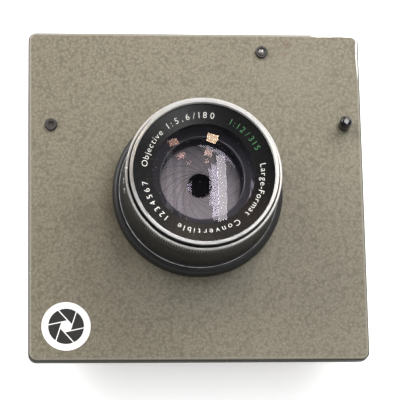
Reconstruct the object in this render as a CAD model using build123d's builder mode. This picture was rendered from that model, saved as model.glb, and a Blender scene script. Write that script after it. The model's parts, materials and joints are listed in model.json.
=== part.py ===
from build123d import *
import math
import os

# Barrel-mounted convertible large-format lens on a square lens board.
# +Z is the optical axis and points out of the front glass. The origin is on that axis, in
# the plane of the rear rim, which is what the lens stands on. Millimetres throughout.
# Radial profiles are pairs (radius, height), with the height counted from the board's face.

# ---- driving dimensions ----
BOARD_SIZE = 140.0            # side of the square lens board
BOARD_FACE = 24.0             # height of the board's front face over the rear rim
BOARD_SHEET = 2.0             # sheet thickness
BOARD_DEPTH = 5.5             # depth of the turned-back edge
BOARD_WALL = 1.8              # thickness of the turned-back edge
BOARD_INSIDE = BOARD_SIZE - 2 * BOARD_WALL
BOARD_CORNER = 3.5            # corner radius of the outline
BOARD_EDGE = 1.2              # rounding of the front edge

NECK_R = 28.0                 # barrel neck that passes through the board
FLANGE_R = 35.3               # front flange
BARREL_FOOT_R = 32.86         # widest part of the barrel, where it meets the flange
BARREL_TOP_R = 31.5           # the barrel just under the knurled ring
CHAMBER_R = 27.0              # bore of the iris chamber and of the front cell's thread
REAR_BORE_R = 23.8            # bore behind the iris
RING_SEAT_R = 29.0            # upper neck that the aperture ring turns on
KNURL_R = 31.56               # outside of the knurled ring
FRONT_RIM_R = 30.0            # outside of the front rim, a 60 mm push-on size
FILTER_R = 28.62              # crest radius of the 58 mm filter thread in the front rim
FILTER_ROOT_R = 29.0          # root radius of the same thread
FILTER_PITCH = 0.75
RUN = 0.05                    # radial running clearance, also left in screwed joints
CEMENT = 0.02                 # gap kept between the two glasses of a doublet

BLADES = 18
PIVOT_R = 20.4                # circle of the blades' fixed pivots
LEAF_R = 20.2                 # radius of a leaf's centre line
LEAF_HALF = 4.0               # half of a leaf's width
LEAF_SPAN = 140.0             # degrees from the pivot to the drive pin
LEAF_T = 0.08                 # leaf thickness
LEAF_LEAD = 0.2               # rise from one leaf to the next
CLOSED_TURN = 38.5            # turn of a leaf from fully open to fully closed, degrees
REST_TURN = 32.5              # turn at rest, which leaves a hole of about 9.5 mm
RING_PER_LEAF = 2.0           # degrees of the aperture ring for one degree of a leaf
PIN_R = 0.5                   # radius of a leaf's pivot and drive pin
LEDGE = 8.8                   # height of the ledge that the iris base plate lies on
LEAF_BASE = LEDGE + 1.45      # height of the leaf where it meets its pivot

PITCH_ANGLE = 360.0 / BLADES
AXIAL = Plane(origin=(0, 0, BOARD_FACE), x_dir=(1, 0, 0), z_dir=(0, -1, 0))
FACE = Plane.XY.offset(BOARD_FACE)


def at(height):
    """The horizontal plane at a height over the board's front face."""
    return Plane.XY.offset(BOARD_FACE + height)


def half_section(*points):
    """A closed outline of (radius, height) pairs, ready to revolve about the axis."""
    with BuildSketch(AXIAL) as outline:
        with BuildLine():
            Polyline(*points, close=True)
        make_face()
    return outline.sketch


def glass_section(front_vertex, front_edge, rear_vertex, rear_edge, radius):
    """Half of a lens element with two spherical faces square to the axis at their vertices."""
    with BuildSketch(AXIAL) as outline:
        with BuildLine():
            Line((0, rear_vertex), (0, front_vertex))
            TangentArc((0, front_vertex), (radius, front_edge), tangent=(1, 0))
            Line((radius, front_edge), (radius, rear_edge))
            TangentArc((0, rear_vertex), (radius, rear_edge), tangent=(1, 0))
        make_face()
    return outline.sketch


def on_circle(radius, angle, height=0.0):
    """A point at an angle in degrees on a circle about the axis."""
    turn = math.radians(angle)
    return (radius * math.cos(turn), radius * math.sin(turn), height)


def outward(angle, distance, height):
    """An upright plane that faces away from the axis, at a distance from it."""
    return Plane(
        origin=on_circle(distance, angle, BOARD_FACE + height),
        x_dir=on_circle(1, angle + 90),
        z_dir=on_circle(1, angle),
    )


def ring_segment(inner, outer, middle, span):
    """A flat piece of a ring about the axis, over a span of degrees about its middle."""
    first = middle - span / 2
    last = middle + span / 2
    with BuildSketch() as segment:
        with BuildLine():
            ThreePointArc(on_circle(inner, first), on_circle(inner, middle), on_circle(inner, last))
            Line(on_circle(inner, last), on_circle(outer, last))
            ThreePointArc(on_circle(outer, last), on_circle(outer, middle), on_circle(outer, first))
            Line(on_circle(outer, first), on_circle(inner, first))
        make_face()
    return segment.sketch


pieces = {}


def keep(builder, name):
    """Label a finished sub-part and hold it for export."""
    builder.part.label = name
    pieces[name] = builder.part


# ---- lens board: pressed sheet with its edge turned back ----
STUD_LEFT = (-60.6, 29.6)
STUD_TOP = (28.4, 61.8)
STUD_RIGHT = (62.7, 29.8)
STUDS = (STUD_LEFT, STUD_TOP, STUD_RIGHT)
STUD_SHANK_R = 1.5
STUD_HEAD_R = 2.6
STUD_REACH = 5.2              # how far the studs go down from the board's face
STUD_WASHER_T = 0.5
BADGE_AT = (-54.6, -55.7)

with BuildPart() as lens_board:
    with BuildSketch(FACE):
        RectangleRounded(BOARD_SIZE, BOARD_SIZE, BOARD_CORNER)
    extrude(amount=-BOARD_DEPTH)
    fillet(lens_board.faces().sort_by(Axis.Z)[-1].edges(), BOARD_EDGE)
    with BuildSketch(at(-BOARD_SHEET)):
        RectangleRounded(BOARD_INSIDE, BOARD_INSIDE, BOARD_CORNER - BOARD_WALL)
    extrude(amount=-BOARD_DEPTH, mode=Mode.SUBTRACT)
    with BuildSketch(FACE):
        Circle(NECK_R + RUN)
        with Locations(*STUDS):
            Circle(STUD_SHANK_R + RUN)
    extrude(amount=-BOARD_DEPTH, mode=Mode.SUBTRACT)
keep(lens_board, "lens_board")

# ---- round adhesive badge in the lower left corner ----
BADGE_R = 10.05
BADGE_T = 0.25

with BuildPart() as board_badge:
    with BuildSketch(FACE):
        with Locations(BADGE_AT):
            Circle(BADGE_R)
    extrude(amount=BADGE_T)
keep(board_badge, "board_badge")

# ---- three studs through the board ----
SCREW_HEAD_H = 1.1
POST_H = 7.0
PIN_SHOULDER = 0.9            # where the bright pin starts to taper to its point

with BuildPart() as left_screw:
    with BuildSketch(FACE):
        with Locations(STUD_LEFT):
            Circle(STUD_HEAD_R)
    extrude(amount=SCREW_HEAD_H)
    chamfer(left_screw.faces().sort_by(Axis.Z)[-1].edges(), 0.4)
    with BuildSketch(at(SCREW_HEAD_H)):
        with Locations(STUD_LEFT):
            RegularPolygon(1.5, 6)
    extrude(amount=-0.8, mode=Mode.SUBTRACT)
    with BuildSketch(FACE):
        with Locations(STUD_LEFT):
            Circle(STUD_SHANK_R)
    extrude(amount=-STUD_REACH)
keep(left_screw, "left_screw")

with BuildPart() as top_collar:
    with BuildSketch(FACE):
        with Locations(STUD_TOP):
            Circle(STUD_HEAD_R)
            Circle(STUD_SHANK_R + RUN, mode=Mode.SUBTRACT)
    extrude(amount=1.2)
    chamfer(top_collar.faces().sort_by(Axis.Z)[-1].edges(), 0.3)
keep(top_collar, "top_collar")

with BuildPart() as top_pin:
    with BuildSketch(at(-STUD_REACH)):
        with Locations(STUD_TOP):
            Circle(STUD_SHANK_R)
    extrude(amount=STUD_REACH + PIN_SHOULDER)
    with BuildSketch(at(PIN_SHOULDER)):
        with Locations(STUD_TOP):
            Circle(STUD_SHANK_R)
    extrude(amount=1.3, taper=40)
keep(top_pin, "top_pin")

with BuildPart() as right_post:
    with BuildSketch(at(-STUD_REACH)):
        with Locations(STUD_RIGHT):
            Circle(STUD_SHANK_R)
    extrude(amount=STUD_REACH)
    with BuildSketch(FACE):
        with Locations(STUD_RIGHT):
            Circle(STUD_HEAD_R)
    extrude(amount=POST_H)
    fillet(right_post.faces().sort_by(Axis.Z)[-1].edges(), 1.6)
keep(right_post, "right_post")

with BuildPart() as stud_washers:
    with BuildSketch(at(-BOARD_SHEET)):
        with Locations(*STUDS):
            Circle(3.1)
            Circle(STUD_SHANK_R + RUN, mode=Mode.SUBTRACT)
    extrude(amount=-STUD_WASHER_T)
keep(stud_washers, "stud_washers")

with BuildPart() as stud_nuts:
    with BuildSketch(at(-BOARD_SHEET - STUD_WASHER_T)):
        with Locations(*STUDS):
            RegularPolygon(2.9, 6)
            Circle(STUD_SHANK_R + RUN, mode=Mode.SUBTRACT)
    extrude(amount=-1.8)
keep(stud_nuts, "stud_nuts")

# ---- front flange, washer and lock ring that clamp the barrel to the board ----
FLANGE_H = 6.4
FLANGE_BORE_R = 31.0

with BuildPart() as mount_flange:
    revolve(
        half_section(
            (FLANGE_BORE_R + RUN, 0),
            (FLANGE_R, 0),
            (FLANGE_R, FLANGE_H),
            (FLANGE_BORE_R + RUN, FLANGE_H),
        ),
        axis=Axis.Z,
    )
    outer_edges = mount_flange.edges().filter_by(GeomType.CIRCLE).group_by(SortBy.RADIUS)[-1]
    fillet(outer_edges.sort_by(Axis.Z)[-1], 2.1)
keep(mount_flange, "mount_flange")

LOCK_R = 33.0
LOCK_H = 3.4
LOCK_WASHER_T = 0.3
LOCK_TOP = -BOARD_SHEET - LOCK_WASHER_T

with BuildPart() as lock_washer:
    with BuildSketch(at(-BOARD_SHEET)):
        Circle(LOCK_R + 0.5)
        Circle(NECK_R + RUN, mode=Mode.SUBTRACT)
    extrude(amount=-LOCK_WASHER_T)
keep(lock_washer, "lock_washer")

with BuildPart() as lock_ring:
    with BuildSketch(at(LOCK_TOP)):
        Circle(LOCK_R)
        Circle(NECK_R + RUN, mode=Mode.SUBTRACT)
    extrude(amount=-LOCK_H)
    chamfer(lock_ring.faces().sort_by(Axis.Z)[0].edges(), 0.4)
    with BuildSketch(at(LOCK_TOP - LOCK_H)):
        with PolarLocations(LOCK_R - 2, 4, start_angle=45):
            Rectangle(6.0, 3.0)
    extrude(amount=1.4, mode=Mode.SUBTRACT)
keep(lock_ring, "lock_ring")

# ---- barrel: the fixed tube that holds the iris and takes both cells ----
NECK_END = -9.0
SHOULDER = 26.6               # the shoulder under the knurled ring
SEAT_TOP = 33.0
BARREL_TOP = 33.9
SLOT_H = 28.8                 # height of the slots for the drive screws
SLOT_HALF = 1.2
DRIVE_SPAN = 90.0             # degrees of slot for each drive screw
DRIVE_ANGLES = (40.0, 220.0)  # where the two drive screws stand at rest
RING_OPEN = -RING_PER_LEAF * REST_TURN
RING_CLOSED = RING_PER_LEAF * (CLOSED_TURN - REST_TURN)
CIRCLIP_H = LEDGE + 5.6
CIRCLIP_T = 0.8
KEEPER_BORE_R = RING_SEAT_R - 0.8

with BuildPart() as iris_barrel:
    revolve(
        half_section(
            (REAR_BORE_R, NECK_END),
            (NECK_R, NECK_END),
            (NECK_R, 0),
            (FLANGE_BORE_R, 0.4),
            (FLANGE_BORE_R, FLANGE_H),
            (BARREL_FOOT_R - 0.3, FLANGE_H),
            (BARREL_FOOT_R, FLANGE_H + 0.3),
            (BARREL_FOOT_R, FLANGE_H + 1.0),
            (BARREL_FOOT_R - 0.5, FLANGE_H + 1.4),
            (BARREL_TOP_R, SHOULDER - 0.5),
            (BARREL_TOP_R - 0.4, SHOULDER),
            (RING_SEAT_R, SHOULDER),
            (RING_SEAT_R, SEAT_TOP),
            (KEEPER_BORE_R, SEAT_TOP),
            (KEEPER_BORE_R, BARREL_TOP),
            (CHAMBER_R, BARREL_TOP),
            (CHAMBER_R, CIRCLIP_H + CIRCLIP_T + RUN),
            (CHAMBER_R + 0.5, CIRCLIP_H + CIRCLIP_T + RUN),
            (CHAMBER_R + 0.5, CIRCLIP_H - RUN),
            (CHAMBER_R, CIRCLIP_H - RUN),
            (CHAMBER_R, LEDGE),
            (REAR_BORE_R, LEDGE),
        ),
        axis=Axis.Z,
    )
    # the slots reach a little past both ends of the ring's travel
    for rest_angle in DRIVE_ANGLES:
        middle = rest_angle + (RING_OPEN + RING_CLOSED) / 2
        with BuildSketch(at(SLOT_H - SLOT_HALF)):
            add(ring_segment(CHAMBER_R - 1, RING_SEAT_R + 1, middle, DRIVE_SPAN))
        extrude(amount=2 * SLOT_HALF, mode=Mode.SUBTRACT)
keep(iris_barrel, "iris_barrel")

# ---- aperture ring: straight knurl below, plated trim above ----
TEETH = 180
TOOTH_DEPTH = 0.38
RING_FOOT = SHOULDER + 0.15
TRIM_FOOT = 33.4
TRIM_TOP = 34.5
TRIM_BORE_R = 30.55
KEEPER_R = 29.6
KEEPER_T = 0.8
SCREW_R = 0.8                 # shank of a drive screw
SCREW_HEAD_R = 1.4
SCREW_HEAD_AT = RING_SEAT_R + 0.95
SCREW_HEAD_T = 0.9

with BuildPart() as aperture_ring:
    with BuildSketch(at(RING_FOOT)):
        with BuildLine():
            step = 180.0 / TEETH
            points = [on_circle(KNURL_R - TOOTH_DEPTH * (i % 2), i * step) for i in range(2 * TEETH)]
            Polyline(*points, close=True)
        make_face()
        Circle(RING_SEAT_R + RUN, mode=Mode.SUBTRACT)
    extrude(amount=TRIM_FOOT - RING_FOOT)
    revolve(
        half_section(
            (20, RING_FOOT),
            (KNURL_R - 0.5, RING_FOOT),
            (KNURL_R + 0.1, RING_FOOT + 0.6),
            (KNURL_R + 0.1, TRIM_FOOT),
            (20, TRIM_FOOT),
        ),
        axis=Axis.Z,
        mode=Mode.INTERSECT,
    )
    with BuildSketch(at(SEAT_TOP - 0.15)):
        Circle(TRIM_BORE_R)
    extrude(amount=2, mode=Mode.SUBTRACT)
    for rest_angle in DRIVE_ANGLES:
        with BuildSketch(outward(rest_angle, RING_SEAT_R - 1, SLOT_H)):
            Circle(SCREW_R + RUN)
        extrude(amount=5, mode=Mode.SUBTRACT)
        with BuildSketch(outward(rest_angle, SCREW_HEAD_AT - RUN, SLOT_H)):
            Circle(SCREW_HEAD_R + RUN)
        extrude(amount=3, mode=Mode.SUBTRACT)
keep(aperture_ring, "aperture_ring")

with BuildPart() as aperture_ring_trim:
    revolve(
        half_section(
            (TRIM_BORE_R, TRIM_FOOT),
            (KNURL_R, TRIM_FOOT),
            (KNURL_R, TRIM_TOP - 0.35),
            (KNURL_R - 0.35, TRIM_TOP),
            (TRIM_BORE_R + 0.15, TRIM_TOP),
            (TRIM_BORE_R, TRIM_TOP - 0.15),
        ),
        axis=Axis.Z,
    )
keep(aperture_ring_trim, "aperture_ring_trim")

# a dot of white paint on the trim marks the aperture
INDEX_ANGLE = 176.0

with BuildPart() as index_dot:
    with BuildSketch(at(TRIM_TOP)):
        with Locations(on_circle((TRIM_BORE_R + KNURL_R) / 2 - 0.08, INDEX_ANGLE)):
            Circle(0.36)
    extrude(amount=0.06)
keep(index_dot, "index_dot")

# the keeper ring screws on the end of the neck and holds the aperture ring down
with BuildPart() as ring_keeper:
    revolve(
        half_section(
            (KEEPER_BORE_R + RUN, SEAT_TOP),
            (KEEPER_R, SEAT_TOP),
            (KEEPER_R, SEAT_TOP + KEEPER_T),
            (KEEPER_BORE_R + RUN, SEAT_TOP + KEEPER_T),
        ),
        axis=Axis.Z,
    )
keep(ring_keeper, "ring_keeper")

# ---- iris drive: base plate, slotted drive ring, forks and screws ----
IRIS_HOLE_R = 16.6
BASE_T = 1.2
DRIVE_FOOT = LEDGE + 4.15
DRIVE_T = 1.3
DRIVE_BORE_R = 15.85
CAM_ANGLE = 140.2 + RING_PER_LEAF * REST_TURN
CAM_INNER = 17.75 - PIN_R - 0.15
CAM_OUTER = 20.2 + PIN_R + 0.15
CAM_WIDTH = 2.0
FORK_INNER_R = 25.0
FORK_OUTER_R = 26.0
FORK_SPAN = 14.0              # degrees of the ring that a fork covers

with BuildPart() as iris_base_plate:
    with BuildSketch(at(LEDGE)):
        Circle(CHAMBER_R - RUN)
        Circle(IRIS_HOLE_R, mode=Mode.SUBTRACT)
        with PolarLocations(PIVOT_R, BLADES):
            Circle(PIN_R + RUN, mode=Mode.SUBTRACT)
    extrude(amount=BASE_T)
keep(iris_base_plate, "iris_base_plate")

with BuildPart() as iris_drive_ring:
    with BuildSketch(at(DRIVE_FOOT)):
        Circle(CHAMBER_R - RUN)
        Circle(DRIVE_BORE_R, mode=Mode.SUBTRACT)
        with PolarLocations((CAM_INNER + CAM_OUTER) / 2, BLADES, start_angle=CAM_ANGLE):
            SlotOverall(CAM_OUTER - CAM_INNER, CAM_WIDTH, mode=Mode.SUBTRACT)
    extrude(amount=DRIVE_T)
keep(iris_drive_ring, "iris_drive_ring")

with BuildPart() as iris_circlip:
    with BuildSketch(at(CIRCLIP_H)):
        Circle(CHAMBER_R + 0.45)
        Circle(FORK_OUTER_R + 0.3, mode=Mode.SUBTRACT)
        with Locations((CHAMBER_R - 0.5, 0)):
            Rectangle(3, 5, mode=Mode.SUBTRACT)
    extrude(amount=CIRCLIP_T)
keep(iris_circlip, "iris_circlip")

FORK_FOOT = DRIVE_FOOT + DRIVE_T
FORK_TOP = SLOT_H + 1.5
for side, rest_angle in zip(("a", "b"), DRIVE_ANGLES):
    with BuildPart() as drive_fork:
        with BuildSketch(at(FORK_FOOT)):
            add(ring_segment(FORK_INNER_R, FORK_OUTER_R, rest_angle, FORK_SPAN))
        extrude(amount=FORK_TOP - FORK_FOOT)
        with BuildSketch(outward(rest_angle, FORK_INNER_R - 2, SLOT_H)):
            Circle(SCREW_R + RUN)
        extrude(amount=5, mode=Mode.SUBTRACT)
    keep(drive_fork, f"drive_fork_{side}")

with BuildPart() as drive_screws:
    for rest_angle in DRIVE_ANGLES:
        with BuildSketch(outward(rest_angle, FORK_INNER_R + 0.1, SLOT_H)):
            Circle(SCREW_R)
        extrude(amount=SCREW_HEAD_AT - FORK_INNER_R)
        with BuildSketch(outward(rest_angle, SCREW_HEAD_AT, SLOT_H)):
            Circle(SCREW_HEAD_R)
        extrude(amount=SCREW_HEAD_T)
        with BuildSketch(outward(rest_angle, SCREW_HEAD_AT + SCREW_HEAD_T, SLOT_H)):
            Rectangle(4, 0.4)
        extrude(amount=-0.4, mode=Mode.SUBTRACT)
keep(drive_screws, "drive_screws")

# ---- iris leaves ----
# A leaf is a crescent about its own centre. It lies on a helicoid, so that each leaf passes
# over the next all the way round. The helicoid's axis is the leaf point that comes to the
# optical axis when the iris is closed, because there the leaves overlap the most.
LEAD_PER_DEGREE = LEAF_LEAD / PITCH_ANGLE
closed = math.radians(CLOSED_TURN + 2.5)
HELIX_AT = (PIVOT_R * (1 - math.cos(closed)), PIVOT_R * math.sin(closed))
LEAF_STEP = 5.0


def helix_angle(point):
    """The angle of a point about the helicoid's axis, in degrees without a jump on the leaf."""
    value = math.degrees(math.atan2(point[1] - HELIX_AT[1], point[0] - HELIX_AT[0]))
    return value + 360 if value < -90 else value


def leaf_rise(point):
    """How far the leaf has climbed at a point, counted from its pivot."""
    return LEAD_PER_DEGREE * (helix_angle(point) - helix_angle((PIVOT_R, 0)))


def leaf_section(angle, half_width):
    """The upright face that the leaf has at an angle about its centre."""
    upright = Plane(
        origin=(0, 0, BOARD_FACE + LEAF_BASE),
        x_dir=on_circle(1, angle),
        z_dir=on_circle(1, angle - 90),
    )
    inside = LEAF_R - half_width
    outside = LEAF_R + half_width
    low = leaf_rise(on_circle(inside, angle))
    high = leaf_rise(on_circle(outside, angle))
    with BuildSketch(upright) as section:
        with BuildLine():
            Polyline(
                (inside, low),
                (outside, high),
                (outside, high + LEAF_T),
                (inside, low + LEAF_T),
                close=True,
            )
        make_face()
    return section.sketch.face()


# the ends are rounded: the width falls off over the last few degrees
END_DEGREES = math.degrees(LEAF_HALF / LEAF_R)
ends = [END_DEGREES * s for s in (0.96, 0.85, 0.65, 0.35)]
angles = [-e for e in ends] + [LEAF_STEP * i for i in range(int(LEAF_SPAN / LEAF_STEP) + 1)]
angles += [LEAF_SPAN + e for e in reversed(ends)]


def leaf_half_width(angle):
    past = max(-angle, angle - LEAF_SPAN, 0) / END_DEGREES
    return LEAF_HALF * math.sqrt(1 - past**2)


DRIVE_PIN = on_circle(LEAF_R, LEAF_SPAN)
DRIVE_PIN_FOOT = LEAF_BASE + leaf_rise(DRIVE_PIN) + LEAF_T / 2
PIN_GAP = 0.2                 # a pin stops this far short of the far face of its plate

with BuildPart() as leaf:
    loft([leaf_section(a, leaf_half_width(a)) for a in angles], ruled=True)
    with BuildSketch(at(LEDGE + PIN_GAP)):
        with Locations((PIVOT_R, 0)):
            Circle(PIN_R)
    extrude(amount=LEAF_BASE + LEAF_T / 2 - LEDGE - PIN_GAP)
    with BuildSketch(at(DRIVE_PIN_FOOT)):
        with Locations(DRIVE_PIN):
            Circle(PIN_R)
    extrude(amount=DRIVE_FOOT + DRIVE_T - PIN_GAP - DRIVE_PIN_FOOT)

for number in range(BLADES):
    pivot = on_circle(PIVOT_R, number * PITCH_ANGLE)
    turned = Location(pivot, (0, 0, number * PITCH_ANGLE + REST_TURN)) * Location((-PIVOT_R, 0, 0))
    with BuildPart() as iris_blade:
        with Locations(turned):
            add(leaf.part)
    keep(iris_blade, f"iris_blade_{number + 1:02d}")

# ---- front cell ----
THREAD_FOOT = 30.4            # the cell's thread in the barrel starts here
CELL_FOOT = 19.4
CELL_R = 24.6
CELL_FLANGE_R = 29.4
CELL_LIP = BARREL_TOP + 0.05
NAME_SHELF = 34.9
NAME_SEAT = 33.3
DOUBLET_R = 22.5
DOUBLET_BORE_R = DOUBLET_R + 0.1
MENISCUS_R = 17.6
MENISCUS_BORE_R = MENISCUS_R + 0.1
FRONT_LEDGE = 24.4
FRONT_SEAT = 20.8
BAFFLE_R = 16.6

with BuildPart() as front_cell_body:
    revolve(
        half_section(
            (BAFFLE_R, CELL_FOOT),
            (CELL_R, CELL_FOOT),
            (CELL_R, THREAD_FOOT),
            (CHAMBER_R - RUN, THREAD_FOOT + 0.4),
            (CHAMBER_R - RUN, CELL_LIP),
            (CELL_FLANGE_R, CELL_LIP),
            (CELL_FLANGE_R, NAME_SHELF),
            (26.0, NAME_SHELF),
            (23.2, NAME_SEAT),
            (DOUBLET_BORE_R, NAME_SEAT),
            (DOUBLET_BORE_R, FRONT_LEDGE),
            (MENISCUS_BORE_R, FRONT_LEDGE),
            (MENISCUS_BORE_R, FRONT_SEAT),
            (BAFFLE_R, FRONT_SEAT),
        ),
        axis=Axis.Z,
    )
keep(front_cell_body, "front_cell_body")

# the rim screws over the cell's flange and holds the name ring down
RIM_TOP = 37.8
RIM_BORE_R = CELL_FLANGE_R + RUN
RIM_SHOULDER = 36.05
THREAD_TOP = 37.6
THREAD_TURNS = 2

with BuildPart() as front_rim:
    grooves = []
    for turn in range(THREAD_TURNS):
        groove = THREAD_TOP - 0.25 - turn * FILTER_PITCH
        grooves.append((FILTER_R, groove))
        grooves.append((FILTER_ROOT_R, groove - FILTER_PITCH / 3))
        grooves.append((FILTER_R, groove - 2 * FILTER_PITCH / 3))
    revolve(
        half_section(
            (FILTER_R + 0.2, RIM_TOP),
            (FILTER_R, THREAD_TOP),
            *grooves,
            (FILTER_R, RIM_SHOULDER),
            (RIM_BORE_R, RIM_SHOULDER),
            (RIM_BORE_R, CELL_LIP),
            (FRONT_RIM_R, CELL_LIP),
            (FRONT_RIM_R, RIM_TOP - 0.2),
            (FRONT_RIM_R - 0.2, RIM_TOP),
        ),
        axis=Axis.Z,
    )
keep(front_rim, "front_rim")

NAME_INNER_R = 20.7
NAME_INNER_H = 34.0
NAME_OUTER_R = 28.3
NAME_OUTER_H = 35.75

with BuildPart() as name_ring:
    revolve(
        half_section(
            (NAME_INNER_R, NAME_INNER_H),
            (NAME_OUTER_R, NAME_OUTER_H),
            (CELL_FLANGE_R, NAME_OUTER_H),
            (CELL_FLANGE_R, NAME_SHELF + RUN),
            (25.9, NAME_SHELF + RUN),
            (23.0, NAME_SEAT + 0.06),
            (NAME_INNER_R + 0.1, NAME_INNER_H - 0.12),
        ),
        axis=Axis.Z,
    )
keep(name_ring, "name_ring")

with BuildPart() as front_crown_glass:
    revolve(
        glass_section(35.7, 33.2, 32.0 + CEMENT, 27.5 + CEMENT, DOUBLET_R), axis=Axis.Z
    )
keep(front_crown_glass, "front_crown_glass")

with BuildPart() as front_flint_glass:
    revolve(glass_section(32.0, 27.5, 29.0, 25.5, DOUBLET_R), axis=Axis.Z)
keep(front_flint_glass, "front_flint_glass")

with BuildPart() as front_spacer:
    revolve(
        half_section(
            (BAFFLE_R, 24.55),
            (MENISCUS_R + 0.3, FRONT_LEDGE),
            (DOUBLET_R, FRONT_LEDGE),
            (DOUBLET_R, 25.45),
            (DOUBLET_R - 1.0, 25.45),
            (DOUBLET_R - 1.6, 25.1),
            (BAFFLE_R, 25.1),
        ),
        axis=Axis.Z,
    )
keep(front_spacer, "front_spacer")

with BuildPart() as front_meniscus:
    revolve(glass_section(27.4, 23.9, 23.4, FRONT_SEAT, MENISCUS_R), axis=Axis.Z)
keep(front_meniscus, "front_meniscus")

# ---- rear cell ----
REAR_RIM = -BOARD_FACE
REAR_R = 26.0
REAR_BODY_R = REAR_BORE_R - RUN
REAR_FLANGE = NECK_END - 0.05
REAR_FLANGE_R = NECK_R - 0.4
REAR_TOP = LEDGE - 1.2
REAR_SEAT = 2.9
REAR_GLASS_R = 21.0
REAR_GLASS_BORE_R = REAR_GLASS_R + 0.1
REAR_LEDGE = -9.8
REAR_THREAD_END = -19.2
REAR_CONE_R = 19.2

with BuildPart() as rear_cell_body:
    revolve(
        half_section(
            (MENISCUS_BORE_R, REAR_TOP),
            (REAR_BODY_R, REAR_TOP),
            (REAR_BODY_R, REAR_FLANGE),
            (REAR_FLANGE_R, REAR_FLANGE),
            (REAR_FLANGE_R, REAR_FLANGE - 2.4),
            (REAR_R, REAR_FLANGE - 3.6),
            (REAR_R, REAR_RIM + 0.6),
            (REAR_R - 0.6, REAR_RIM),
            (24.0, REAR_RIM),
            (22.6, REAR_THREAD_END),
            (REAR_GLASS_BORE_R, REAR_THREAD_END),
            (REAR_GLASS_BORE_R, REAR_LEDGE),
            (REAR_CONE_R, REAR_LEDGE),
            (BAFFLE_R, REAR_SEAT - 1.2),
            (BAFFLE_R, REAR_SEAT - 0.6),
            (MENISCUS_BORE_R, REAR_SEAT - 0.1),
        ),
        axis=Axis.Z,
    )
keep(rear_cell_body, "rear_cell_body")

REAR_MENISCUS_EDGE = REAR_SEAT + 3.1

with BuildPart() as rear_meniscus:
    revolve(
        glass_section(REAR_SEAT + 0.5, REAR_MENISCUS_EDGE, REAR_SEAT - 3.5, REAR_SEAT, MENISCUS_R),
        axis=Axis.Z,
    )
keep(rear_meniscus, "rear_meniscus")

with BuildPart() as rear_meniscus_ring:
    revolve(
        half_section(
            (BAFFLE_R, REAR_MENISCUS_EDGE + 0.15),
            (MENISCUS_R + RUN, REAR_MENISCUS_EDGE),
            (MENISCUS_R + RUN, REAR_MENISCUS_EDGE + 1.4),
            (BAFFLE_R, REAR_MENISCUS_EDGE + 1.4),
        ),
        axis=Axis.Z,
    )
keep(rear_meniscus_ring, "rear_meniscus_ring")

with BuildPart() as rear_flint_glass:
    revolve(glass_section(-13.2, REAR_LEDGE, -16.2, -11.9, REAR_GLASS_R), axis=Axis.Z)
keep(rear_flint_glass, "rear_flint_glass")

REAR_GLASS_EDGE = -17.2

with BuildPart() as rear_crown_glass:
    revolve(
        glass_section(-16.2 - CEMENT, -11.9 - CEMENT, -20.6, REAR_GLASS_EDGE, REAR_GLASS_R),
        axis=Axis.Z,
    )
keep(rear_crown_glass, "rear_crown_glass")

RETAINER_END = -19.0
RETAINER_BORE_R = 19.6

with BuildPart() as rear_retaining_ring:
    revolve(
        half_section(
            (RETAINER_BORE_R, REAR_GLASS_EDGE - 0.5),
            (REAR_GLASS_R + RUN, REAR_GLASS_EDGE - 0.05),
            (REAR_GLASS_R + RUN, RETAINER_END),
            (20.4, RETAINER_END),
            (RETAINER_BORE_R, RETAINER_END + 0.6),
        ),
        axis=Axis.Z,
    )
    # two notches for a spanner
    with BuildSketch(at(RETAINER_END)):
        with PolarLocations(20.6, 2):
            Rectangle(2.0, 1.6)
    extrude(amount=0.6, mode=Mode.SUBTRACT)
keep(rear_retaining_ring, "rear_retaining_ring")

os.makedirs("parts", exist_ok=True)
for name, piece in pieces.items():
    export_step(piece, f"parts/{name}.step")
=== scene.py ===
import json
import math

import bmesh
import bpy
from mathutils import Euler, Matrix, Vector


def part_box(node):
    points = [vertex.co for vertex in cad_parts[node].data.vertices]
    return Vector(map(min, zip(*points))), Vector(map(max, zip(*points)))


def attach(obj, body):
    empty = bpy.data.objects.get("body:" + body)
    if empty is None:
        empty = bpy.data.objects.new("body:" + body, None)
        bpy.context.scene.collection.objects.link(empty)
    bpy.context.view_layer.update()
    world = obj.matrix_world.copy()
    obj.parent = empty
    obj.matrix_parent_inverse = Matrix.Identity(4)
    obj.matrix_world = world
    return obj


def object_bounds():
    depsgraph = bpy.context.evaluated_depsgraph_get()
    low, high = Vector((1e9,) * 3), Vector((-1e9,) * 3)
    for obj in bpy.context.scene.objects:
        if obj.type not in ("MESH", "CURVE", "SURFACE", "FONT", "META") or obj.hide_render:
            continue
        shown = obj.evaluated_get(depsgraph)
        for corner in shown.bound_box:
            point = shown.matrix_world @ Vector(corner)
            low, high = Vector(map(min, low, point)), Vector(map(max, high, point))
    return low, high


# A large-format barrel lens on its lens board: materials, engraving, badge mark, light, camera.
# Everything is in metres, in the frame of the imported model: +Z is the optical axis.

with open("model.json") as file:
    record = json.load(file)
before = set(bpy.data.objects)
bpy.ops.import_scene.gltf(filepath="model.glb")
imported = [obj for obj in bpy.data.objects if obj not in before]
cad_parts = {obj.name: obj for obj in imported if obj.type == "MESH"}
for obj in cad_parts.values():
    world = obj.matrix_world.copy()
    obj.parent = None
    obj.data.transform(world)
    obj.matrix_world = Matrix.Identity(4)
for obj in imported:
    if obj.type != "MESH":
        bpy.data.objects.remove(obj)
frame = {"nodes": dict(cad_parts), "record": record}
cad_low, cad_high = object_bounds()
nodes = frame["nodes"]

MM = 0.001
BOARD_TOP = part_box("lens_board")[1].z
BOARD_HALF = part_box("lens_board")[1].x
ROUND_FROM = BOARD_HALF - 3.5 * MM      # where the rounding of the board's corners starts
KNURL_ROOT_R = 31.40 * MM
KNURL_H = 6.6 * MM
RING_MARK_PITCH = 0.4 * MM              # between two marks of the lathe
SPACER_LIP_R = 16.95 * MM
SHADE_DISC_R = 25 * MM                         # black disc painted on the floor under the rear rim as painted shade, so the view through the lens stays dark
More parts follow.
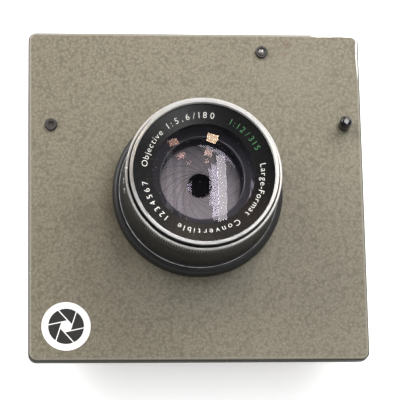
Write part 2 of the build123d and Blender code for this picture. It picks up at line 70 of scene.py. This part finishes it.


# ---------------------------------------------------------------- node helpers
class Shader:
    """A material with a Principled shader, and short calls to add nodes to it."""

    def __init__(self, name):
        self.material = bpy.data.materials.new(name)
        self.material.use_nodes = True
        self.tree = self.material.node_tree
        self.tree.nodes.clear()
        self.out = self.add("ShaderNodeOutputMaterial")
        self.main = self.add("ShaderNodeBsdfPrincipled")
        self.link(self.main, "BSDF", self.out, "Surface")
        self.place = self.add("ShaderNodeTexCoord")

    def add(self, kind, **settings):
        node = self.tree.nodes.new(kind)
        for key, value in settings.items():
            setattr(node, key, value)
        return node

    def link(self, source, output, target, entry):
        self.tree.links.new(source.outputs[output], target.inputs[entry])

    def set(self, **values):
        """Constants on the Principled shader's own sockets."""
        for key, value in values.items():
            entry = self.main.inputs[key.replace("_", " ")]
            entry.default_value = (*value, 1.0) if isinstance(value, tuple) else value

    def noise(self, size, detail=4.0, rough=0.55, stretch=None):
        """Noise whose blobs are about size metres, in the part's own coordinates."""
        node = self.add("ShaderNodeTexNoise")
        node.inputs["Scale"].default_value = 1.0 / size
        node.inputs["Detail"].default_value = detail
        node.inputs["Roughness"].default_value = rough
        self.feed(node, stretch)
        return node

    def cells(self, size):
        """Rounded cells about size metres across."""
        node = self.add("ShaderNodeTexVoronoi", feature="F1")
        node.inputs["Scale"].default_value = 1.0 / size
        self.feed(node, None)
        return node

    def feed(self, node, stretch):
        if stretch is None:
            self.link(self.place, "Object", node, "Vector")
            return
        mapping = self.add("ShaderNodeMapping")
        mapping.inputs["Scale"].default_value = stretch
        self.link(self.place, "Object", mapping, "Vector")
        self.link(mapping, "Vector", node, "Vector")

    def mix(self, factor, first, second):
        """A colour mix; each argument is a (node, output) pair, a colour or a number."""
        node = self.add("ShaderNodeMix", data_type="RGBA", blend_type="MIX")
        for index, value in ((0, factor), (6, first), (7, second)):
            entry = node.inputs[index]
            if isinstance(value, tuple) and isinstance(value[0], bpy.types.Node):
                self.tree.links.new(value[0].outputs[value[1]], entry)
            elif index == 0:
                entry.default_value = value
            else:
                entry.default_value = (*value, 1.0)
        return (node, 2)

    def math(self, operation, *values):
        node = self.add("ShaderNodeMath", operation=operation)
        for entry, value in zip(node.inputs, values):
            if isinstance(value, tuple):
                self.tree.links.new(value[0].outputs[value[1]], entry)
            else:
                entry.default_value = value
        return (node, 0)

    def span(self, value, low, high, to_low=0.0, to_high=1.0):
        """The value mapped from one range to another, and held at its ends."""
        node = self.add("ShaderNodeMapRange")
        node.inputs[1].default_value = low
        node.inputs[2].default_value = high
        node.inputs[3].default_value = to_low
        node.inputs[4].default_value = to_high
        self.tree.links.new(value[0].outputs[value[1]], node.inputs[0])
        return (node, 0)

    def turned(self, amount):
        """Spreads highlights across the marks that a lathe leaves round the axis."""
        around = self.add("ShaderNodeTangent", direction_type="RADIAL", axis="Z")
        self.link(around, "Tangent", self.main, "Tangent")
        self.main.inputs["Anisotropic"].default_value = amount

    def radius(self):
        """Distance from the optical axis."""
        place = self.axes()
        squares = self.math("ADD", self.math("MULTIPLY", (place, "X"), (place, "X")),
                            self.math("MULTIPLY", (place, "Y"), (place, "Y")))
        return self.math("SQRT", squares)

    def axes(self):
        node = self.add("ShaderNodeSeparateXYZ")
        self.link(self.place, "Object", node, "Vector")
        return node

    def drive(self, value, node, entry):
        """Feeds a (node, output) pair into an input of another node."""
        self.tree.links.new(value[0].outputs[value[1]], node.inputs[entry])

    def color(self, value):
        self.drive(value, self.main, "Base Color")

    def rough(self, value):
        self.drive(value, self.main, "Roughness")

    def bump(self, value, depth, strength=1.0):
        """Bumps of depth metres from a value; calls stack."""
        node = self.add("ShaderNodeBump")
        node.inputs["Strength"].default_value = strength
        node.inputs["Distance"].default_value = depth
        self.tree.links.new(value[0].outputs[value[1]], node.inputs["Height"])
        last = self.main.inputs["Normal"]
        if last.is_linked:
            self.tree.links.new(last.links[0].from_socket, node.inputs["Normal"])
        self.tree.links.new(node.outputs["Normal"], last)


def spot_mask(shader, centre, inner, outer):
    """1 within inner metres of a point on the board, 0 beyond outer."""
    distance = shader.add("ShaderNodeVectorMath", operation="DISTANCE")
    shader.link(shader.place, "Object", distance, 0)
    distance.inputs[1].default_value = (centre[0], centre[1], BOARD_TOP)
    return shader.span((distance, "Value"), inner, outer, 1.0, 0.0)


# ---------------------------------------------------------------- materials
def board_enamel():
    """Hammered grey-brown enamel with a rust stain, a painted shadow of the lens beside the barrel,
    painted highlight and shade at the edge, and worn to bright metal round one corner.
    """
    s = Shader("board_enamel")
    dapple = s.cells(1.15 * MM)
    fine = s.noise(0.6 * MM, 3)
    clouds = s.noise(34 * MM, 3)
    base = s.mix((clouds, "Fac"), (0.116, 0.103, 0.070), (0.144, 0.128, 0.091))
    light = s.math("MULTIPLY", s.span((dapple, "Distance"), 0.1, 0.6, 1.0, 0.0),
                   s.span((fine, "Fac"), 0.38, 0.68))
    paint = s.mix(light, base, (0.236, 0.213, 0.163))
    paint = s.mix(s.span((dapple, "Distance"), 0.55, 0.9, 0.0, 0.55), paint, (0.076, 0.066, 0.043))
    # a painted shadow of the lens, brown, beside the barrel, and a paler rubbed patch near the worn
    # corner
    painted_lens_shadow = s.math("MULTIPLY", spot_mask(s, (-37 * MM, -10 * MM), 5 * MM, 40 * MM),
                   s.span((s.noise(15 * MM, 5), "Fac"), 0.35, 0.7, 0.15, 0.6))
    paint = s.mix(painted_lens_shadow, paint, (0.055, 0.044, 0.026))
    rubbed = s.math("MULTIPLY", spot_mask(s, (44 * MM, 53 * MM), 3 * MM, 20 * MM),
                    s.span((s.noise(8 * MM, 5), "Fac"), 0.4, 0.7, 0.1, 0.6))
    paint = s.mix(rubbed, paint, (0.175, 0.162, 0.13))
    rust = s.math("MULTIPLY", spot_mask(s, (38 * MM, 66.5 * MM), 1 * MM, 9 * MM),
                  s.math("GREATER_THAN", (s.noise(2.4 * MM, 4), "Fac"), 0.55))
    paint = s.mix(s.math("MULTIPLY", rust, 0.6), paint, (0.115, 0.062, 0.038))
    place = s.axes()
    # distance of the outline's rounded square that passes through the point
    over = [s.math("MAXIMUM", s.math("SUBTRACT", s.math("ABSOLUTE", (place, axis)), ROUND_FROM), 0.0)
            for axis in ("X", "Y")]
    squares = s.math("ADD", s.math("POWER", over[0], 2.0), s.math("POWER", over[1], 2.0))
    edge = s.math("ADD", s.math("SQRT", squares), ROUND_FROM)
    wander = s.span((s.noise(7 * MM, 3, 0.5), "Fac"), 0.3, 0.7, -0.4 * MM, 0.4 * MM)
    reach = s.math("ADD", edge, wander)
    corner = spot_mask(s, (BOARD_HALF, BOARD_HALF), 17 * MM, 27 * MM)
    limit = s.span(corner, 0.0, 1.0, BOARD_HALF + 0.8 * MM, BOARD_HALF - 1.2 * MM)
    worn = s.math("GREATER_THAN", reach, limit)
    chips = s.math("MULTIPLY", s.math("GREATER_THAN", edge, BOARD_HALF - 0.9 * MM),
                   s.math("GREATER_THAN", (s.noise(2.2 * MM, 4, 0.6), "Fac"), 0.71))
    above = s.math("LESS_THAN", edge, BOARD_HALF - 0.6 * MM)
    bare = s.math("MULTIPLY", s.math("MAXIMUM", worn, chips), above)
    # painted highlight: the rounded front edge is painted paler; painted shade: the turned-back wall is
    # painted near black and given little specular
    painted_edge_highlight = s.span(edge, BOARD_HALF - 1.5 * MM, BOARD_HALF - 0.9 * MM, 0.0, 0.6)
    paint = s.mix(painted_edge_highlight, paint, (0.24, 0.23, 0.19))
    painted_wall_shade = s.span(edge, BOARD_HALF - 0.62 * MM, BOARD_HALF - 0.3 * MM, 0.0, 0.9)
    paint = s.mix(painted_wall_shade, paint, (0.022, 0.022, 0.018))
    shine = s.span(painted_wall_shade, 0.0, 0.9, 0.5, 0.02)
    s.drive(shine, s.main, "Specular IOR Level")
    s.color(s.mix(bare, paint, (0.46, 0.46, 0.47)))
    s.drive(bare, s.main, "Metallic")
    s.set(IOR=1.45)
    s.rough(s.span((fine, "Fac"), 0.3, 0.7, 0.34, 0.5))
    s.bump((dapple, "Distance"), 0.09 * MM, 0.5)
    s.bump((fine, "Fac"), 0.03 * MM, 0.5)
    return s.material


def black_enamel(
    name, tone, rough, orange_peel=0.012, rubbed=False, turned=0.0, uneven=0.13, shine=0.28
):
    """Satin black lacquer on metal, a little uneven; rubbed adds a pale line at the barrel's foot,
    partly rubbed paint and partly painted highlight, and painted highlights on the knurl's crests.
    """
    s = Shader(name)
    s.set(Specular_IOR_Level=shine)
    if turned:
        s.turned(turned)
    patch = s.noise(4 * MM, 4)
    dark = tuple(tone * k for k in (1.0, 0.99, 1.0))
    light = tuple(tone * 1.8 * k for k in (1.0, 0.99, 0.98))
    color = s.mix((patch, "Fac"), dark, light)
    if rubbed:
        place = s.axes()
        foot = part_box("mount_flange")[1].z
        # a pale grey line round the barrel just above the flange: partly rubbed paint, partly painted
        # highlight along the step
        line = s.math("MULTIPLY", s.math("GREATER_THAN", (place, "Z"), foot + 0.1 * MM),
                      s.math("LESS_THAN", (place, "Z"), foot + 1.1 * MM))
        worn = s.math("MULTIPLY", line, s.span((s.noise(3 * MM), "Fac"), 0.35, 0.6, 0.4, 1.0))
        color = s.mix(worn, color, (0.42, 0.42, 0.43))
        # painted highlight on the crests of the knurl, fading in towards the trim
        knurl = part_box("aperture_ring_trim")[0].z
        painted_crest_highlight = s.math("MULTIPLY", s.math("GREATER_THAN", s.radius(), KNURL_ROOT_R),
                       s.math("LESS_THAN", (place, "Z"), knurl))
        crest_highlight_fade = s.span((place, "Z"), knurl - 4.0 * MM, knurl - 0.2 * MM, 0.1, 1.0)
        above = s.math("GREATER_THAN", (place, "Z"), knurl - KNURL_H)
        painted_crest_highlight = s.math("MULTIPLY", s.math("MULTIPLY", painted_crest_highlight, above), crest_highlight_fade)
        color = s.mix(painted_crest_highlight, color, (0.30, 0.285, 0.25))
    s.color(color)
    s.rough(s.span((s.noise(1.8 * MM, 5), "Fac"), 0.3, 0.7, rough, rough + uneven))
    s.bump((s.noise(0.35 * MM, 2), "Fac"), orange_peel * MM, 0.5)
    return s.material


def metal(name, tone, rough, turned=0.0, tint=(1.0, 0.99, 0.97)):
    """Bare or plated metal; turned metal has fine marks round the axis."""
    s = Shader(name)
    if turned:
        s.turned(0.8)
    patch = s.noise(5 * MM, 4)
    color = s.mix(
        (patch, "Fac"),
        tuple(tone * 0.86 * k for k in tint),
        tuple(tone * k for k in tint),
    )
    s.color(color)
    s.set(Metallic=1.0)
    s.rough(s.span((s.noise(1.2 * MM, 4), "Fac"), 0.3, 0.7, rough, rough + 0.12))
    if turned:
        marks = s.math("SINE", s.math("MULTIPLY", s.radius(), 2 * math.pi / RING_MARK_PITCH))
        s.bump(marks, turned * MM, 0.3)
    return s.material


def blade_steel():
    """Blued spring steel, faintly brushed and slightly stained, with painted shade in the gaps between
    leaves.
    """
    s = Shader("blade_steel")
    streaks = s.noise(0.8 * MM, 4, stretch=(1, 1, 8))
    patch = s.noise(6 * MM, 4)
    tone = s.mix((patch, "Fac"), (0.090, 0.087, 0.079), (0.150, 0.144, 0.133))
    tone = s.mix(s.span((streaks, "Fac"), 0.3, 0.7, 0.0, 0.35), tone, (0.21, 0.20, 0.195))
    # painted shade: ambient occlusion darkens the steel to near black in the gaps between leaves
    crevice_shade = s.add("ShaderNodeAmbientOcclusion", samples=6)
    crevice_shade.inputs["Distance"].default_value = 0.8 * MM
    unshaded_share = s.math("POWER", (crevice_shade, "AO"), 2.6)
    s.color(s.mix(unshaded_share, (0.004, 0.004, 0.004), tone))
    s.set(Metallic=0.55)
    s.rough(s.span((streaks, "Fac"), 0.3, 0.7, 0.42, 0.6))
    return s.material


def spacer_black():
    """Black-anodised spacer whose inner edge is rubbed grey."""
    s = Shader("spacer_black")
    lip = s.math("LESS_THAN", s.radius(), SPACER_LIP_R)
    wear = s.math("MULTIPLY", lip, s.span((s.noise(4 * MM), "Fac"), 0.35, 0.6, 0.35, 0.9))
    s.color(s.mix(wear, (0.008, 0.008, 0.009), (0.10, 0.10, 0.105)))
    s.set(Specular_IOR_Level=0.2)
    s.rough(s.span((s.noise(2 * MM), "Fac"), 0.3, 0.7, 0.5, 0.65))
    return s.material


# heights of the centres over the board and radii of the faces inside the two doublets
CEMENTED_FACES = ((-26.5 * MM, 58.5 * MM), (37.2 * MM, 53.4 * MM))


def coated_glass():
    """Optical glass with a violet coating; lamps light what lies behind it."""
    s = Shader("coated_glass")
    s.set(Base_Color=(0.97, 0.965, 0.985), Transmission_Weight=1.0, IOR=1.5)
    s.set(Specular_Tint=(0.42, 0.40, 0.43))
    dust = s.cells(1.7 * MM)
    grain = s.noise(0.5 * MM, 2)
    specks = s.math(
        "MULTIPLY",
        s.math("LESS_THAN", (dust, "Distance"), 0.06),
        s.math("GREATER_THAN", (s.noise(2.6 * MM, 1), "Fac"), 0.56),
    )
    s.rough(s.span((grain, "Fac"), 0.2, 0.8, 0.0, 0.012))
    path = s.add("ShaderNodeLightPath")
    clear = s.add("ShaderNodeBsdfTransparent")
    clear.inputs["Color"].default_value = (0.97, 0.965, 0.985, 1.0)
    through = s.add("ShaderNodeMixShader")
    clear_part = (path, "Is Shadow Ray")
    for centre, radius in CEMENTED_FACES:
        # cement fills the gap, so the face inside a doublet neither bends nor reflects
        away = s.add("ShaderNodeVectorMath", operation="DISTANCE")
        s.link(s.place, "Object", away, 0)
        away.inputs[1].default_value = (0.0, 0.0, BOARD_TOP + centre)
        on_face = s.math("COMPARE", (away, "Value"), radius, 0.12 * MM)
        clear_part = s.math("MAXIMUM", clear_part, on_face)
    s.drive(clear_part, through, "Fac")
    s.link(s.main, "BSDF", through, 1)
    s.link(clear, "BSDF", through, 2)
    flake = s.add("ShaderNodeBsdfDiffuse")
    flake.inputs["Color"].default_value = (0.5, 0.48, 0.45, 1.0)
    dusty = s.add("ShaderNodeMixShader")
    s.drive(specks, dusty, "Fac")
    s.link(through, "Shader", dusty, 1)
    s.link(flake, "BSDF", dusty, 2)
    s.link(dusty, "Shader", s.out, "Surface")
    return s.material


def paper(name, tone, tint=(1.0, 0.995, 0.98), varnish=0.25):
    """Thin printed paper or film, slightly soiled."""
    s = Shader(name)
    soil = s.noise(3.5 * MM, 5)
    s.color(
        s.mix(
            s.span((soil, "Fac"), 0.45, 0.75, 0.0, 0.4),
            tuple(tone * k for k in tint),
            tuple(tone * 0.82 * k for k in tint),
        )
    )
    s.set(Coat_Weight=varnish, Coat_Roughness=0.25, Specular_IOR_Level=0.3)
    s.rough(s.span((soil, "Fac"), 0.3, 0.7, 0.32, 0.5))
    s.bump((s.noise(0.25 * MM, 3), "Fac"), 0.004 * MM, 0.4)
    return s.material


def fill_paint(name, color):
    """Paint rubbed into an engraving: matt and a little uneven."""
    s = Shader(name)
    wear = s.noise(0.6 * MM, 3)
    s.color(
        s.mix(s.span((wear, "Fac"), 0.3, 0.7, 0.0, 0.5), color, tuple(0.72 * c for c in color))
    )
    s.rough(s.span((wear, "Fac"), 0.3, 0.7, 0.5, 0.7))
    return s.material


def floor_sheet():
    """A pale lit table, with a round black disc under the rear rim: painted shade that keeps the view
    through the lens dark.
    """
    s = Shader("studio_floor")
    # painted shade: within the disc the floor is black and does not glow
    painted_shade_disc = s.math("LESS_THAN", s.radius(), SHADE_DISC_R)
    s.color(s.mix(painted_shade_disc, (0.93, 0.93, 0.93), (0.01, 0.01, 0.01)))
    s.set(Roughness=0.9, Emission_Strength=0.37)
    glow = s.mix(painted_shade_disc, (1.0, 1.0, 1.0), (0.0, 0.0, 0.0))
    s.drive(glow, s.main, "Emission Color")
    return s.material


look = {
    "board_enamel": board_enamel(),
    "badge_white": paper("badge_white", 0.80),
    "barrel_black": black_enamel("barrel_black", 0.007, 0.34, rubbed=True),
    "name_black": black_enamel(
        "name_black", 0.004, 0.24, 0.003, turned=0.6, uneven=0.04, shine=0.2
    ),
    "inner_black": black_enamel("inner_black", 0.010, 0.6),
    "gloss_black": black_enamel("gloss_black", 0.003, 0.06, 0.002, uneven=0.03, shine=0.35),
    "fibre_black": black_enamel("fibre_black", 0.02, 0.8, 0.03),
    "black_steel": metal("black_steel", 0.065, 0.36),
    "bright_steel": metal("bright_steel", 0.42, 0.28),
    "bright_brass": metal("bright_brass", 0.72, 0.3, tint=(1.0, 0.78, 0.42)),
    "chrome_trim": metal("chrome_trim", 0.41, 0.29, turned=0.002),
    "spacer_black": spacer_black(),
    "white_paint": fill_paint("white_paint", (0.80, 0.79, 0.75)),
    "green_paint": fill_paint("green_paint", (0.05, 0.22, 0.075)),
    "blade_steel": blade_steel(),
    "coated_glass": coated_glass(),
    "badge_ink": paper("badge_ink", 0.012, (1.0, 1.0, 1.0), varnish=0.0),
}

for entry in frame["record"]["subparts"]:
    cad = nodes[entry["node"]]
    cad.data.materials.clear()
    cad.data.materials.append(look[entry["material_slot"]])


# ---------------------------------------------------------------- mesh helpers
def new_piece(name, mesh, material, body):
    """A visible piece that rides on a body of the model."""
    piece = bpy.data.objects.new(name, mesh)
    bpy.context.scene.collection.objects.link(piece)
    mesh.materials.clear()
    mesh.materials.append(look[material])
    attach(piece, body)
    return piece


CAPITAL_SHARE = 0.73          # height of a capital in a font of size 1


def lettering(text, height, thickness, thin=0.0):
    """A flat mesh of text, centred on x, standing on y = 0; height is that of a capital."""
    curve = bpy.data.curves.new("lettering", "FONT")
    curve.body = text
    curve.align_x = "CENTER"
    curve.size = height / CAPITAL_SHARE
    curve.offset = -thin
    curve.extrude = thickness / 2
    curve.resolution_u = 6
    holder = bpy.data.objects.new("lettering", curve)
    bpy.context.scene.collection.objects.link(holder)
    bpy.context.view_layer.update()
    mesh = bpy.data.meshes.new_from_object(holder)
    bpy.data.objects.remove(holder)
    bpy.data.curves.remove(curve)
    return mesh


def wrap_on_ring(mesh, radius, slope_height, middle):
    """Bends flat lettering round the axis with its tops outward; slope_height(r) is the ring's face."""
    for vertex in mesh.vertices:
        x, y, z = vertex.co
        reach = radius + y
        turn = middle - x / radius
        vertex.co = (
            reach * math.cos(turn),
            reach * math.sin(turn),
            slope_height(reach) + z,
        )
    mesh.update()


def wrap_on_tube(mesh, radius_at, foot, middle):
    """Bends flat lettering round the barrel with its tops up."""
    for vertex in mesh.vertices:
        x, y, z = vertex.co
        reach = radius_at(foot + y) + z
        turn = middle + x / radius_at(foot)
        vertex.co = (reach * math.cos(turn), reach * math.sin(turn), foot + y)
    mesh.update()


# ---------------------------------------------------------------- engraving on the name ring
CONE_INNER_R = 20.7 * MM
CONE_OUTER_R = 28.3 * MM
CONE_INNER_Z = BOARD_TOP + 34.0 * MM
CONE_OUTER_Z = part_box("name_ring")[1].z


def cone_height(radius):
    share = (radius - CONE_INNER_R) / (CONE_OUTER_R - CONE_INNER_R)
    return CONE_INNER_Z + share * (CONE_OUTER_Z - CONE_INNER_Z)


LETTER_R = 22.95 * MM
LETTER_H = 2.5 * MM
LETTER_T = 0.03 * MM
# text, middle angle and spread in degrees, paint
ENGRAVING = (
    ("Objective", 154.0, 39.0, "white_paint"),
    ("1:5,6/180", 103.0, 47.5, "white_paint"),
    ("1:12/315", 43.5, 38.0, "green_paint"),
    ("Large-Format", -18.0, 55.0, "white_paint"),
    ("Convertible", -86.0, 62.0, "white_paint"),
    ("1234567", -150.5, 42.0, "white_paint"),
)


def letter_row(text, span, height):
    """Letters with equal gaps, spread over a length, as one flat mesh."""
    glyphs = [lettering(letter, height, LETTER_T, 0.045 * MM) for letter in text]
    edges = [(min(v.co.x for v in g.vertices), max(v.co.x for v in g.vertices)) for g in glyphs]
    gap = (span - sum(high - low for low, high in edges)) / (len(text) - 1)
    row = bmesh.new()
    start = -span / 2
    for glyph, (low, high) in zip(glyphs, edges):
        for vertex in glyph.vertices:
            vertex.co.x += start - low
        row.from_mesh(glyph)
        bpy.data.meshes.remove(glyph)
        start += high - low + gap
    mesh = bpy.data.meshes.new("letter_row")
    row.to_mesh(mesh)
    row.free()
    return mesh


for index, (text, middle, spread, paint) in enumerate(ENGRAVING):
    mesh = letter_row(text, math.radians(spread) * LETTER_R, LETTER_H)
    wrap_on_ring(mesh, LETTER_R, cone_height, math.radians(middle))
    new_piece(f"engraving_{index + 1}", mesh, paint, "front_cell")


# ---------------------------------------------------------------- aperture scale on the barrel
BARREL_FOOT = (32.36 * MM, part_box("mount_flange")[1].z + 1.4 * MM)
BARREL_TOP = (31.5 * MM, BOARD_TOP + 26.1 * MM)
SCALE_H = 1.9 * MM
SCALE_FOOT = BOARD_TOP + 21.6 * MM
DOT_ANGLE = 176.0
REST_TURN = 32.5              # turn of a leaf at rest, degrees
RING_PER_LEAF = 2.0
LEAF_PIVOT_R = 20.4 * MM
LEAF_INNER_R = 16.2 * MM      # a leaf's inner edge when the iris is wide open
FOCAL_LENGTH = 180.0 * MM


def barrel_radius(height):
    share = (height - BARREL_FOOT[1]) / (BARREL_TOP[1] - BARREL_FOOT[1])
    return BARREL_FOOT[0] + share * (BARREL_TOP[0] - BARREL_FOOT[0]) + 0.01 * MM


def ring_angle(f_number):
    """Where the dot stands for an f-number, in degrees: there the leaves leave a hole that wide."""
    hole = FOCAL_LENGTH / (2 * f_number)
    turn = 2 * math.degrees(math.asin((LEAF_INNER_R - hole) / (2 * LEAF_PIVOT_R)))
    return DOT_ANGLE + RING_PER_LEAF * (turn - REST_TURN)


for text, f_number in (("5,6", 5.6), ("8", 8), ("11", 11), ("16", 16), ("22", 22), ("32", 32)):
    angle = math.radians(ring_angle(f_number))
    mark = text.replace(",", "_")
    mesh = lettering(text, SCALE_H, LETTER_T, 0.03 * MM)
    wrap_on_tube(mesh, barrel_radius, SCALE_FOOT, angle)
    new_piece(f"scale_{mark}", mesh, "white_paint", "barrel")
    tick = bpy.data.meshes.new("tick")
    maker = bmesh.new()
    bmesh.ops.create_cube(maker, size=1.0)
    bmesh.ops.scale(maker, vec=(0.28 * MM, 1.5 * MM, LETTER_T), verts=maker.verts)
    bmesh.ops.bevel(
        maker, geom=maker.edges, offset=0.008 * MM, segments=2, affect="EDGES", profile=0.5
    )
    bmesh.ops.translate(maker, vec=(0, 3.3 * MM, 0), verts=maker.verts)
    maker.to_mesh(tick)
    maker.free()
    wrap_on_tube(tick, barrel_radius, SCALE_FOOT, angle)
    new_piece(f"tick_{mark}", tick, "white_paint", "barrel")


# ---------------------------------------------------------------- generic mark on the badge
badge_low, badge_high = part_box("board_badge")
badge_at = (badge_low + badge_high) / 2
LEAVES = 6
MARK_INNER_R = 2.5 * MM
MARK_OUTER_R = 7.4 * MM
MARK_T = 0.02 * MM
MARK_TURN = 12.0              # degrees
MARK_ARC_STEPS = 12
MARK_LEAF_SHARE = 0.93        # each leaf is shrunk a little, which leaves white lines


def mark_corner(index):
    turn = math.radians(index * 360 / LEAVES + MARK_TURN)
    return Vector((MARK_INNER_R * math.cos(turn), MARK_INNER_R * math.sin(turn)))


def mark_reach(index):
    """Where the line through two corners of the opening meets the outer circle."""
    corner = mark_corner(index)
    along = (corner - mark_corner(index - 1)).normalized()
    half = corner.dot(along)
    return corner + along * (-half + math.sqrt(half**2 + MARK_OUTER_R**2 - MARK_INNER_R**2))


maker = bmesh.new()
for index in range(LEAVES):
    first, last = mark_reach(index), mark_reach(index + 1)
    start = math.atan2(first.y, first.x)
    sweep = (math.atan2(last.y, last.x) - start) % (2 * math.pi)
    outline = [mark_corner(index), first]
    for step in range(1, MARK_ARC_STEPS):
        turn = start + sweep * step / MARK_ARC_STEPS
        outline.append(Vector((MARK_OUTER_R * math.cos(turn), MARK_OUTER_R * math.sin(turn))))
    outline += [last, mark_corner(index + 1)]
    middle = sum(outline, Vector((0, 0))) / len(outline)
    corners = [maker.verts.new((*(middle + (p - middle) * MARK_LEAF_SHARE), 0)) for p in outline]
    maker.faces.new(corners)
raised = bmesh.ops.extrude_face_region(maker, geom=maker.faces[:])
bmesh.ops.translate(
    maker,
    vec=(0, 0, MARK_T),
    verts=[g for g in raised["geom"] if isinstance(g, bmesh.types.BMVert)],
)
bmesh.ops.recalc_face_normals(maker, faces=maker.faces)
bmesh.ops.translate(maker, vec=(badge_at.x, badge_at.y, badge_high.z), verts=maker.verts)
mark_mesh = bpy.data.meshes.new("badge_mark")
maker.to_mesh(mark_mesh)
maker.free()
new_piece("badge_mark", mark_mesh, "badge_ink", "barrel")


# ---------------------------------------------------------------- studio
def aim(obj, target):
    direction = Vector(target) - obj.location
    obj.rotation_euler = direction.to_track_quat("-Z", "Y").to_euler()


def softbox(name, place, size, power, color=(1, 1, 1), spin=False):
    """A rectangular lamp that faces the board; spin lays its second size along y."""
    lamp = bpy.data.lights.new(name, "AREA")
    lamp.shape = "RECTANGLE"
    lamp.size, lamp.size_y = size
    lamp.energy = power
    lamp.color = color
    obj = bpy.data.objects.new(name, lamp)
    bpy.context.scene.collection.objects.link(obj)
    obj.location = place
    if spin:
        back = (obj.location - Vector((0, 0, BOARD_TOP))).normalized()
        across = Vector((0, 1, 0)).cross(back).normalized()
        obj.rotation_euler = Matrix((across, back.cross(across), back)).transposed().to_euler()
    else:
        aim(obj, (0, 0, BOARD_TOP))
    return obj


FLOOR_HALF = 3.0
floor_mesh = bpy.data.meshes.new("studio_floor")
maker = bmesh.new()
bmesh.ops.create_grid(maker, x_segments=8, y_segments=8, size=FLOOR_HALF)
maker.to_mesh(floor_mesh)
maker.free()
floor_mesh.materials.append(floor_sheet())
floor = bpy.data.objects.new("studio_floor", floor_mesh)
floor.location.z = cad_low[2]
bpy.context.scene.collection.objects.link(floor)

# a tall window high on the right, whose image lies across the glasses, and a dim one opposite
softbox("tall_window", (0.275, 0.055, 1.18), (0.09, 0.86), 4.4, spin=True)
softbox("tall_window_left", (-0.25, 0.10, 1.22), (0.06, 0.9), 0.3, spin=True)
# two small warm windows seen near the upper edge of the front glass
softbox("warm_window_a", (0.22, 0.75, 1.24), (0.12, 0.12), 1.9, (1.0, 0.74, 0.48))
softbox("warm_window_b", (-0.22, 0.71, 1.26), (0.11, 0.09), 0.45, (1.0, 0.62, 0.42))
# broad low panels light the board and the table
softbox("panel_right", (0.55, 0.85, 0.72), (1.1, 0.45), 19.0)
softbox("panel_left", (-0.85, 0.68, 0.72), (1.0, 0.45), 17.3)

world = bpy.data.worlds.new("studio")
bpy.context.scene.world = world
world.use_nodes = True
sky = world.node_tree
sky.nodes.clear()
sky_out = sky.nodes.new("ShaderNodeOutputWorld")
sky_light = sky.nodes.new("ShaderNodeBackground")
sky_ramp = sky.nodes.new("ShaderNodeValToRGB")
sky_axes = sky.nodes.new("ShaderNodeSeparateXYZ")
sky_place = sky.nodes.new("ShaderNodeTexCoord")
sky.links.new(sky_place.outputs["Generated"], sky_axes.inputs[0])
sky.links.new(sky_axes.outputs["Z"], sky_ramp.inputs["Fac"])
sky.links.new(sky_ramp.outputs["Color"], sky_light.inputs["Color"])
sky.links.new(sky_light.outputs["Background"], sky_out.inputs["Surface"])
sky_ramp.color_ramp.elements[0].position = 0.5
sky_ramp.color_ramp.elements[0].color = (1, 1, 1, 1)
sky_ramp.color_ramp.elements[1].position = 0.8
sky_ramp.color_ramp.elements[1].color = (0.07, 0.07, 0.075, 1)
sky_light.inputs["Strength"].default_value = 0.95

CAMERA_LENS = 193.84          # millimetres, on a 36 mm wide sensor
CAMERA_AT = (-0.07357, -0.21563, BOARD_TOP + 0.86578)
CAMERA_TILT = (13.865, -4.672, -1.060)
view = bpy.data.cameras.new("camera")
view.lens = CAMERA_LENS
view.sensor_width = 36.0
view.clip_start = 0.05
camera = bpy.data.objects.new("camera", view)
camera.location = CAMERA_AT
camera.rotation_euler = Euler([math.radians(a) for a in CAMERA_TILT], "XYZ")
bpy.context.scene.collection.objects.link(camera)
bpy.context.scene.camera = camera
bpy.context.scene.view_settings.view_transform = "Standard"
